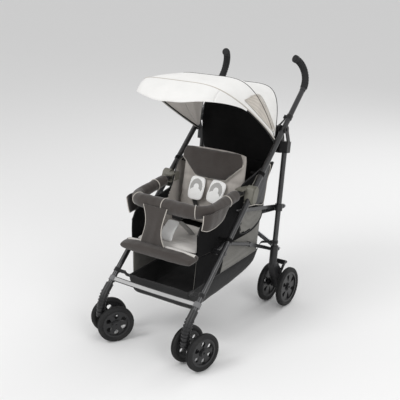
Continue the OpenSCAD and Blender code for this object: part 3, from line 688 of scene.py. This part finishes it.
for s, side in SIDES:
    def at_shoulder(q, s=s):
        a = math.radians(5 * s + 6)
        x = q[..., 0] * math.cos(a) + q[..., 1] * math.sin(a)
        z = -q[..., 0] * math.sin(a) + q[..., 1] * math.cos(a)
        hang = 6 + 0.18 * (50 - z)
        return back(np.stack([x + s * 48 - 6, -hang - q[..., 2], z + 153], -1))

    o = pillow(f"shoulder_pad_{side}", 38, 49, 6.0, 4.2, at_shoulder, [PAD_WHITE, GREY], nu=37, nv=49, edge=0.3,
               corner=0.16, index=shoulder_arc)
    pad(o, None, (28, 0.5, 15 + s), "harness", "backrest")
    line = smooth_line([back([s * x + shift, y, z]) for x, shift, y, z in SHOULDER], 40)
    o = strip(f"shoulder_strap_{side}", line, (1, 0, 0), 24, 1.8, WEBBING)
    trim(o, "backrest")
    cloth(o)


# Cloth tub: sides with net panels and binding, sling, back wall and upper back panel. Outlines are in y and z.

SIDE_TOP = np.array([[-196, 470], [-150, 512], [24, 534], [60, 546], [105, 600], [180, 636], [282, 648],
                     [303, 640]], float)
SIDE_LOW = np.array([[-200, 386], [-60, 375], [70, 370], [200, 374], [266, 406], [284, 468], [298, 560]], float)
UPPER_NET = np.array([[110, 512], [150, 590], [188, 628], [276, 640], [282, 560], [268, 474], [180, 492]], float)
LOWER_NET = np.array([[96, 392], [104, 496], [180, 480], [262, 462], [256, 412], [200, 386]], float)
SLING = [[-200, 385.4], [-60, 374.4], [70, 369.4], [200, 373.4], [266, 405], [284.6, 468.5], [298.6, 560],
         [304.4, 640]]
# Upper back panel: height and half width
BACK_PANEL = np.array([[-6, 152], [50, 172], [120, 178], [160, 176], [220, 168], [268, 150], [292, 125],
                       [304, 85]], float)
TUB_THICK = 2.2

top_edge = smooth_yz(SIDE_TOP, 60)
low_edge = smooth_yz(SIDE_LOW, 60)
for s, side in SIDES:
    t = np.linspace(0, 1, 34)[:, None, None]
    yz = low_edge[None] * (1 - t) + top_edge[None] * t
    belly = 3.0 * np.sin(math.pi * t[..., 0]) * np.sin(math.pi * np.linspace(0.02, 0.98, 60))[None]
    lean = np.clip((yz[..., 0] - 60) / 110, 0, 1)
    x = s * (156.2 + 31 * lean**2 * (3 - 2 * lean) * t[..., 0] ** 0.8 + belly * 0.6)
    P = np.concatenate([x[..., None], yz], -1)
    P[..., 0] += s * ripple(P, 70, 21) * 0.8
    cy = (yz[:-1, :-1, 0] + yz[1:, 1:, 0]) / 2
    cz = (yz[:-1, :-1, 1] + yz[1:, 1:, 1]) / 2
    outer = np.zeros(cy.shape, int)
    outer[inside(UPPER_NET, cy, cz)] = 1
    outer[inside(LOWER_NET, cy, cz)] = 2
    lining = np.where(cy > 62 - 0.62 * (540 - cz), 3, 0)
    wall = P.reshape(-1, 3)
    top_row = P[-1]
    if s < 0:
        P, outer, lining = P[:, ::-1], outer[:, ::-1], lining[:, ::-1]
    o = shell(f"tub_side_{side}", P, TUB_THICK, [BLACK, MESH_GREY, MESH_SIDE, TAUPE], outer.reshape(-1),
              lining.reshape(-1))
    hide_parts("seat_shell")
    trim(o, "right_frame")
    cloth(o)
    for k, poly, mat in (("net", UPPER_NET, PIPING), ("lower", LOWER_NET, BINDING)):
        ring = smooth_line(np.column_stack([np.zeros(len(poly)), poly]), 90, True)
        for q in ring:
            near = 1 / (np.linalg.norm(wall[:, 1:] - q[1:], axis=1) + 2) ** 4
            q[0] = (near * wall[:, 0]).sum() / near.sum() + s * 1.6
        o = tube(f"tub_{k}_piping_{side}", ring, 1.8, mat, closed=True)
        trim(o, "right_frame")
    o = tube(f"tub_binding_{side}", top_row, 2.4, BINDING)
    trim(o, "right_frame")

across = np.linspace(-1, 1, 31)
sling = smooth_yz(SLING, 70)
P = np.zeros((70, 31, 3))
P[..., 0] = across[None] * 154.5
P[..., 1:] = sling[:, None]
P[..., 1] += 1.2 * ripple(P, 90, 22)
o = shell("tub_sling", P, TUB_THICK, BLACK)
trim(o, "right_frame")
cloth(o)

rows = np.linspace(-4, 303, 46)
P = np.zeros((46, 31, 3))
P[..., 0] = across[None] * np.interp(rows, BACK_PANEL[:, 0], BACK_PANEL[:, 1])[:, None]
P[..., 2] = rows[:, None]
P[..., 1] = 0.6 * ripple(P, 80, 23)
P = rot_x(P, -6) + np.array([0, 304.1, 642])
o = shell("tub_back_panel", P, 2.0, BLACK)
trim(o, "right_frame")
cloth(o)

# Open nets from the seat's sides down to the basket
for s, side in SIDES:
    u, v = np.meshgrid(np.linspace(0, 1, 41), np.linspace(0, 1, 15))
    y = -196 + u * 456 - 12 * v
    low = 254 + 8 * u
    top = np.interp(y, SIDE_LOW[:5, 0], SIDE_LOW[:5, 1]) - 2
    x = s * (154.5 - 8 * v + 5 * np.sin(v * math.pi) * np.sin(u * math.pi))
    P = np.stack([x, y, top + (low - top) * v], -1)
    P[..., 0] += s * ripple(P, 80, 25) * 0.8
    front = ((P[:-1, :-1, 1] + P[1:, 1:, 1]) / 2 < -20).astype(int)
    if s > 0:
        P, front = P[:, ::-1], front[:, ::-1]
    o = shell(f"side_net_{side}", P, 1.6, [MESH_SIDE, BLACK, MESH_SIDE], front.reshape(-1))
    trim(o, "right_frame")
    cloth(o)


# Loops and straps on the legs

def front_leg(t, x=0):
    """A point on the line of the front legs, t from its lower end."""
    return np.array([x, -306.99 + t * FRONT_COS, 196 + t * FRONT_SIN])


def rear_leg(t, x=0):
    return np.array([x, 292 + t * REAR_SIN, 206 + t * REAR_COS])


def band(name, start, along, over, radius, width, rows, thick, mat):
    """A cloth band round a leg, from the point start on."""
    ring = []
    for a in np.linspace(0, 2 * math.pi, 29):
        ring.append(np.array([radius * math.cos(a), 0, 0]) + over * radius * math.sin(a))
    P = np.array([start + along * h + np.array(ring) for h in np.linspace(0, width, rows)])
    return shell(name, P, thick, mat)


def loop(name, s, side, t, width, reach, mat):
    """A cloth loop round a front leg, with its tab to the middle."""
    o = band(name + "_ring", front_leg(t, s * LEG_X), FRONT_ALONG, FRONT_ACROSS, LOOP_RADIUS, width, 6, 1.8, mat)
    carry(o, f"{side}_frame")
    line = []
    for f in np.linspace(0, 1, 12):
        x = s * (LEG_X - 12 - f * (reach - 12))
        line.append(front_leg(t + width / 2, x) - FRONT_ACROSS * 1.5 * math.sin(f * math.pi))
    o = strip(name + "_tab", line, FRONT_ALONG, width - 2, 1.8, mat)
    trim(o, "right_frame")


for s, side in SIDES:
    for t, k in ((330, "low"), (640, "high")):
        loop(f"tub_loop_{k}_{side}", s, side, t, 14, 50, BLACK)


# Bumper bar

BAR_X, BAR_BEND, BAR_FRONT, BAR_Z = 175.0, 74.0, -182.0, 556


def bumper_line():
    """The bar's middle line, from its right end round the front to its left end."""
    pts = [[BAR_X, 42, 570.8], [BAR_X, 0, 566.8], [BAR_X, BAR_FRONT + BAR_BEND, BAR_Z]]
    for a in np.radians(np.linspace(15, 75, 5)):
        x = BAR_X - BAR_BEND + BAR_BEND * math.cos(a)
        pts.append([x, BAR_FRONT + BAR_BEND - BAR_BEND * math.sin(a), BAR_Z])
    pts += [[x, BAR_FRONT, BAR_Z] for x in (BAR_X - BAR_BEND, 50, 0)]
    pts = np.array(pts)
    return smooth_line(np.vstack([pts, pts[::-1][1:] * MIRROR]), 150)


bar_line = bumper_line()
along = np.abs(np.linspace(-1, 1, 150))
bar_radius = 22.6 + 5.2 * (1 / (1 + np.exp((along - 0.36) * 26)))
bar_radius = bar_radius * (1 - 0.55 * np.clip((along - 0.985) / 0.015, 0, 1))
bar = tube("bumper_cover", bar_line, bar_radius, DARK, n=28)
crease(bar, 34, 0.9, 31)
subdivide(bar)
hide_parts("bumper_bar")
trim(bar, "bumper")
bar_u, bar_w = frames(bar_line)
for k, i in (("a", 47), ("b", 75), ("c", 103), ("d", 14), ("e", 136)):
    q = circle(40)[:, None]
    ring = bar_line[i] + (bar_u[i] * np.cos(q) + bar_w[i] * np.sin(q)) * (bar_radius[i] + 0.6)
    o = tube(f"bumper_piping_{k}", ring, 1.7, PIPING, closed=True)
    trim(o, "bumper")
seam = bar_line + (-bar_w * 0.35 - bar_u * 0.93) * (bar_radius[:, None] + 0.2)
o = tube("bumper_seam", seam[4:-4], 1.1, BINDING)
trim(o, "bumper")

# Plastic tongues at the ends of the bar: length along y, half width and half height
for s, side in SIDES:
    end = 84 if s > 0 else 68
    rows = []
    for y, w, h in ((38, 9, 7), (44, 10.6, 9), (end - 14, 10.6, 9.2), (end - 4, 9.6, 9), (end, 7.5, 8)):
        q = circle(24)
        x = s * BAR_X + w * squared(np.cos(q), 0.45)
        rows.append(np.stack([x, np.full(24, float(y)), 572.5 + h * squared(np.sin(q), 0.45)], -1))
    o = loft(f"bumper_tongue_{side}", np.array(rows), BLACK_PLASTIC)
    trim(o, "bumper")

# Cloth wings that hang from the ends of the bumper bar
WING_TOP = smooth_yz([[-192, 556], [-120, 558], [-70, 562], [-30, 566]], 40)
WING_LOW = smooth_yz([[-190, 496], [-165, 489], [-110, 492], [-66, 508], [-34, 544]], 40)
for s, side in SIDES:
    t = np.linspace(0, 1, 22)[:, None, None]
    yz = WING_TOP[None] * (1 - t) + WING_LOW[None] * t
    t = t[..., 0]
    x = 199.0 - 12 * t + 2.5 * np.sin(math.pi * t) - 16 * np.clip((-150 - yz[..., 0]) / 42, 0, 1) ** 2
    P = np.concatenate([s * x[..., None], yz], -1)
    P[..., 0] += s * 0.9 * ripple(P, 45, 33)
    o = shell(f"bumper_wing_{side}", P if s > 0 else P[:, ::-1], 2.4, DARK)
    trim(o, "bumper")
    cloth(o)
    line = np.vstack([P[:, 0], P[-1, 1:]])
    o = tube(f"bumper_wing_piping_{side}", smooth_line(line, 70), 1.8, PIPING)
    trim(o, "bumper")


# Crotch flap, strap loop and buckle

def flap(u, v):
    """A point of the flap, at u across and v from its top down."""
    bow = np.sin(v * math.pi)
    x = u * (112 - 34 * bow) - 26 + 4 * np.sin(np.radians(v * 300))
    y = -212.4 - 20 * v - 7 * bow + 8 * u * u * v + 1.2 * np.sin(u * 14 + v * 5) * v
    return np.stack([x, y, 556 - v * 147], -1)


u, v = np.meshgrid(np.linspace(-0.5, 0.5, 21), np.linspace(0, 1, 41))
o = shell("crotch_flap_cloth", flap(u, v), 2.6, DARK)
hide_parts("crotch_flap")
trim(o, "right_frame")
cloth(o)
for s, side in SIDES:
    o = tube(f"crotch_flap_piping_{side}", flap(np.full(50, 0.5 * s), np.linspace(0, 1, 50)), 1.9, PIPING)
    trim(o, "right_frame")


def at_crotch(q):
    v = q[..., 1] / 88 + 0.5
    a = np.radians(40 + 30 * v)
    middle = np.stack([q[..., 0] - 6, -176 + 58 * v - 12 * np.sin(v * math.pi), 411.6 + 66 * v], -1)
    return middle - np.stack([0 * a, np.sin(a), -np.cos(a)], -1) * q[..., 2][..., None]


o = pillow("crotch_pad", 29, 44.5, 5.6, 5.6, at_crotch, [PAD_WHITE], nu=21, nv=33, edge=0.35, corner=0.08)
pad(o, None, (26, 0.5, 41), "crotch_strap", "right_frame")
line = smooth_line([[2, -120, 474], [8, -106, 470], [16, -84, 448], [26, -62, 420], [30, -54, 406]], 30)
o = strip("crotch_strap_rear", line, (0.94, 0.34, 0), 26, 2.2, GREY)
trim(o, "right_frame")
cloth(o)

# Buckle: height, half width and half depth of its rings, then radius and depth of its button's
BUCKLE = ((-18, 15, 5), (-16.5, 19, 6.6), (-8, 24, 7), (4, 25.6, 7), (15, 24, 6.8), (20, 20, 6), (22, 16, 4.6))
BUTTON = ((9.6, 5), (9.6, 8.6), (8.6, 9.6), (6, 9.2), (2, 9.0))


def at_buckle(q):
    return rot_x(q, -50) + np.array([0, -103.4, 492.2])


q = circle(32)
rows = []
for z, w, h in BUCKLE:
    rows.append(np.stack([w * squared(np.cos(q), 0.5), h * squared(np.sin(q), 0.5), np.full(32, float(z))], -1))
o = loft("buckle_body", at_buckle(rows), BLACK_PLASTIC)
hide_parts("buckle")
trim(o, "right_frame")
rows = []
for r, y in BUTTON:
    rows.append(np.stack([r * np.cos(q), np.full(32, -y), 2 + r * np.sin(q)], -1))
o = loft("buckle_button", at_buckle(rows), OLIVE_PLASTIC)
trim(o, "right_frame")


# Canopy: the front half moves with the bow over the rear half

BOW_Y, BOW_Z, BOW_ANG, BOW_H, BOW_FLARE = 306.0, 734.0, 34.8, 503.0, 31.0
BACK_ANG, BACK_H, FOOT_HALF, FOOT_RISE = 100.0, 224.4, 193.0, 16
ARCH_UP, ARCH_OUT = 0.59, 0.36
CANOPY_SPLIT = 0.3
WINDOW = np.array([[46, 944], [110, 950], [186, 940], [236, 880], [294, 790], [278, 780], [210, 820],
                   [120, 884]], float)


def arch(q, w, flare, h, ang, inset):
    """The points of an arch over the canopy's pivots at the angles q."""
    up = np.maximum(np.sin(q), 0) ** ARCH_UP
    x = (w + flare * (1 - (1 - up) ** 3) - inset) * squared(np.cos(q), ARCH_OUT)
    z = FOOT_RISE + (h - FOOT_RISE - inset) * up
    a = np.radians(ang)
    return np.stack([x, BOW_Y - z * np.cos(a), BOW_Z + z * np.sin(a)], -1)


def arch_steps(n):
    """Angles along the arch, closer together where it starts at the sides."""
    s = np.linspace(-1, 1, n)
    return math.pi * (0.5 + 0.5 * np.sign(s) * (1 - (1 - np.abs(s)) ** 1.7))


def ring_size(f):
    """Half width at the foot, flare, height and angle of the canopy's arch at f from front to back."""
    h = BACK_H + (BOW_H - BACK_H) * (1 - f) ** 2.4
    return FOOT_HALF - 4 * f, BOW_FLARE * max(1 - 2 * f, 0), h, BOW_ANG + (BACK_ANG - BOW_ANG) * f


def canopy_ring(f, q, inset):
    return arch(q, *ring_size(f), inset)


def canopy_grid(f0, f1, n, inset):
    """The cloth between two arches, which sags and ripples a little."""
    q = arch_steps(97)
    P = np.array([canopy_ring(f, q, inset) for f in np.linspace(f0, f1, n)])
    middle = np.array([0, BOW_Y, 800.0])
    across = np.sin(math.pi * np.linspace(0, 1, n)[:, None])
    up = np.sin(q)[None] ** ARCH_UP
    sag = 5 * across * up + 1.3 * ripple(P * np.array([1, 0.6, 1]), 95, 51) * up * across**0.5
    return P - unit(P - middle) * sag[..., None]


def on_canopy(y, z, inset=-0.6):
    """A point on the canopy's side at that y and z."""
    dy, dz = BOW_Y - y, z - BOW_Z
    f = (math.degrees(math.atan2(dz, dy)) - BOW_ANG) / (BACK_ANG - BOW_ANG)
    w, flare, h, _ = ring_size(min(max(f, 0), 1))
    up = min(max((math.hypot(dy, dz) - FOOT_RISE) / (h - FOOT_RISE - inset), 0), 0.999)
    c = math.sqrt(max(1 - up ** (2 / ARCH_UP), 0))
    return [(w + flare * (1 - (1 - up) ** 3) - inset) * c**ARCH_OUT, y, z]


for name, f0, f1, n, inset, body, flat in (
        ("canopy_front", 0.0, CANOPY_SPLIT, 25, 1.5, "canopy", (1.14, 0.17)),
        ("canopy_rear", CANOPY_SPLIT, 1.0, 49, 3.4, "right_frame", (0.9, 0.32))):
    P = canopy_grid(f0, f1, n, inset)
    C = (P[:-1, :-1] + P[1:, 1:]) / 2
    window = (inside(WINDOW, C[..., 1], C[..., 2]) & (np.abs(C[..., 0]) > 120)).astype(int)
    # The inner side takes the lining, painted paler with light shining through the cloth.
    o = shell(name, P[:, ::-1], 2.0, [WHITE, MESH_TAUPE, LINING_WITH_PAINTED_LIGHT], window[:, ::-1].reshape(-1))
    if body == "canopy":
        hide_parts("canopy")
    trim(o, body)
    cloth(o)

# Front edge piping, seams, rear edge and window edges
q = arch_steps(121)
o = tube("canopy_piping", canopy_ring(0.0, q, -1.2), 3.0, PIPING)
trim(o, "canopy")
o = tube("canopy_seam", canopy_ring(CANOPY_SPLIT, q, 0.4), 1.5, BINDING, n=8)
trim(o, "right_frame")
o = tube("canopy_rear_binding", canopy_ring(1.0, q, 3.4), 2.6, BINDING, n=8)
trim(o, "right_frame")
split_angle = np.radians(BOW_ANG + CANOPY_SPLIT * (BACK_ANG - BOW_ANG))
window_line = smooth_yz(np.vstack([WINDOW, WINDOW[:1]]), 120)[:-1]
for s, side in SIDES:
    pts = np.array([on_canopy(y, z) for y, z in window_line])
    ahead = np.arctan2(pts[:, 2] - BOW_Z, BOW_Y - pts[:, 1]) < split_angle
    for part, mask, body in (("front", ahead, "canopy"), ("rear", ~ahead, "right_frame")):
        first = np.flatnonzero(mask & ~np.roll(mask, 1))[0]
        line = np.roll(pts, -first, 0)[:mask.sum()] * np.array([s, 1, 1])
        o = tube(f"canopy_window_{part}_{side}", line, 1.8, PIPING, n=8)
        trim(o, body)
foot = np.array([[179.1, BOW_Y, BOW_Z], [182, 300, 738]])
bow = np.vstack([foot, canopy_ring(0.0, q, 8.4), foot[::-1] * MIRROR])
o = tube("canopy_bow_rod", bow, 3.0, BLACK_PLASTIC, n=12)
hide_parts("canopy_bow")
trim(o, "canopy")

# Sun visor. The bill flips up, and its two tapering ends stay on the bow.
visor_seam = arch(np.radians(np.linspace(26, 154, 400)), *ring_size(0), -1)
visor_len = np.concatenate([[0], np.cumsum(np.linalg.norm(np.diff(visor_seam, axis=0), axis=1))])
BILL_START, BILL_END = 0.228, 0.772


def visor_point(j, v):
    """A point of the visor, at j along its seam and v from the seam to the hem."""
    p = np.stack([np.interp(j * visor_len[-1], visor_len, visor_seam[:, k]) for k in range(3)], -1)
    b = np.maximum(np.sin(j * math.pi), 0) ** 1.6
    fold = (2.2 * np.sin(j * 24 + v * 3) + 1.3 * np.sin(j * 41 - v * 5) + 1.2 * np.sin(v * 9 + j * 6)) * v * b
    y = p[..., 1] - 0.8 - v * (6 + 70 * b) - 6 * np.sin(v * math.pi) * b - 0.7 * fold
    z = p[..., 2] + 0.8 - v * (6 + 57 * b) + 8 * np.sin(v * math.pi) * b + 0.7 * fold
    return np.stack([p[..., 0], y, z], -1)


for name, j0, j1, n, body, flat in (("visor_cloth", BILL_START, BILL_END, 61, "visor", (0.38, 0.108)),
                                    ("visor_end_right", 0.0, BILL_START, 21, "canopy", (0.165, 0.06)),
                                    ("visor_end_left", BILL_END, 1.0, 21, "canopy", (0.165, 0.06))):
    along = np.linspace(j0, j1, n)
    o = shell(name, visor_point(*np.meshgrid(along, np.linspace(0, 1, 21))), 2.2, WHITE)
    if body == "visor":
        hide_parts("visor")
    trim(o, body)
    cloth(o)
    o = tube(name + "_hem", visor_point(along, np.ones(n)), 2.1, WHITE, n=8)
    trim(o, body)


# Pouch behind the backrest

def at_pouch(p):
    return rot_x(p, 98) + np.array([0, 440, 702])


o = pillow("pouch", 158, 64, 29, 29, at_pouch, [BLACK], nu=49, nv=29, edge=0.16, corner=0.08,
           grooves=[groove_v(0.72, 0.3)])
pad(o, (1.5, 4), (55, 2.0, 61), "hood_bag", "right_frame")
for s, side in SIDES:
    a, b = np.array([s * 120, 436, 752]), front_leg(933, s * 193.5)
    line = smooth_line([a, (a + b) / 2 + np.array([0, 0, -3]), b], 24)
    o = strip(f"pouch_strap_{side}", line, WEB_SLOPE, 12, 2.0, WEBBING)
    trim(o, "right_frame")
    loop(f"pouch_loop_{side}", s, side, 923, 20, 26, WEBBING)


# Basket: one sagging net shell, bound at its rim and hung on the legs

BASKET_HALF = 144.6
BASKET_LINE = [[-236, 252], [-229, 205], [-212, 176], [-180, 168], [0, 176], [140, 187], [226, 205], [246, 228],
               [261, 260]]
profile = smooth_yz(BASKET_LINE, 90)
across = np.linspace(-1, 1, 61)
rise = np.clip((np.abs(across) - 0.86) / 0.14, 0, 1)
rim_z = np.interp(profile[:, 0], [-236, 261], [252, 262])
P = np.zeros((90, 61, 3))
P[..., 0] = (np.sign(across) * np.minimum(np.abs(across) / 0.93, 1) * BASKET_HALF)[None]
P[..., 1] = profile[:, :1]
P[..., 2] = profile[:, 1:] + (rim_z - profile[:, 1])[:, None] * rise[None] ** 1.5
P[..., 2] += 1.4 * ripple(P, 110, 71) * (1 - rise[None])
o = shell("basket_net", P, 2.0, BASKET)
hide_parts("basket")
trim(o, "right_frame")
cloth(o)
for k, edge_line in (("front", P[0]), ("back", P[-1]), ("right", P[:, -1]), ("left", P[:, 0])):
    o = tube(f"basket_binding_{k}", edge_line, 2.6, BINDING, n=8)
    trim(o, "right_frame")

for s, side in SIDES:
    loop(f"basket_loop_{side}", s, side, 86, 16, 40, WEBBING)
    line = smooth_line([[s * 144.5, -231, 247], [s * 156, -237, 251], front_leg(94, s * 168)], 16)
    o = strip(f"basket_strap_front_{side}", line, FRONT_ALONG, 12, 2, WEBBING)
    trim(o, "right_frame")
    o = band(f"basket_loop_rear_{side}", rear_leg(84, s * LEG_X), REAR_ALONG, REAR_ACROSS, LOOP_RADIUS, 12, 5, 1.8,
             WEBBING)
    carry(o, f"{side}_rear")
    line = smooth_line([rear_leg(90, s * 194), [s * 172, 294, 291], [s * 150, 284, 287], [s * 146, 268, 270],
                        [s * BASKET_HALF, 255, 254]], 30)
    o = strip(f"basket_strap_rear_{side}", line, WEB_SLOPE, 10, 2, WEBBING)
    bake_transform(o)

# Foot strap between the front legs
STRAP_END = 193
line = []
for x in np.linspace(-STRAP_END, STRAP_END, 60):
    line.append(front_leg(54, x) + FRONT_ACROSS * (5.5 - 7 * (1 - (x / STRAP_END) ** 2)))
line = np.array(line)
o = strip("foot_strap_web", line, FRONT_ALONG, 17, 2.2, PALE_WEB)
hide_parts("foot_strap")
trim(o, "right_frame")
cloth(o)
for k, e in (("upper", 8.5), ("lower", -8.5)):
    o = tube(f"foot_strap_edge_{k}", line + FRONT_ALONG * e, 1.7, BINDING, n=8)
    trim(o, "right_frame")
for s, side in SIDES:
    o = band(f"foot_strap_loop_{side}", front_leg(44, s * LEG_X), FRONT_ALONG, FRONT_ACROSS, 13, 20, 6, 2.4,
             GREY_WEB)
    carry(o, f"{side}_frame")


# Camera at the photograph's place
cam = bpy.data.cameras.new("camera")
cam.lens, cam.sensor_width = 69.43, 36.0
cam.clip_end = 200
camera = bpy.data.objects.new("camera", cam)
camera.location = (1.6893, -2.3588, 1.5323)
camera.rotation_euler = (math.radians(90 - 19.1), 0, math.radians(35.1))
scene.collection.objects.link(camera)
scene.camera = camera

# Floor, lights and world
FLOOR_HALF = 40000
pale, _, surface = new_material("floor_pale")
surface.inputs["Base Color"].default_value = (0.86, 0.86, 0.86, 1)
surface.inputs["Roughness"].default_value = 0.9
surface.inputs["Specular IOR Level"].default_value = 0.1
corners = np.array([[-1, -1, 0], [1, -1, 0], [1, 1, 0], [-1, 1, 0]]) * FLOOR_HALF
floor = make("floor", corners, [[0, 1, 2, 3]], pale)


def area_light(name, place, target, size, energy):
    d = bpy.data.lights.new(name, "AREA")
    d.energy, d.size, d.shape = energy, size, "DISK"
    o = bpy.data.objects.new(name, d)
    o.location = place
    o.rotation_euler = Vector(np.array(target) - np.array(place)).to_track_quat("-Z", "Y").to_euler()
    scene.collection.objects.link(o)


area_light("key", (-1.2, -2.6, 3.2), (0, 0, 0.5), 1.6, 50)
area_light("fill", (3.0, -1.2, 2.2), (0, 0, 0.5), 2.0, 30)
area_light("back", (0.6, 3.2, 2.8), (0, 0, 0.7), 1.8, 30)
world = bpy.data.worlds.new("world")
scene.world = world
world.use_nodes = True
sky = world.node_tree.nodes["Background"]
sky.inputs["Color"].default_value = (1, 1, 1, 1)
sky.inputs["Strength"].default_value = 0.7
scene.view_settings.view_transform = "Standard"
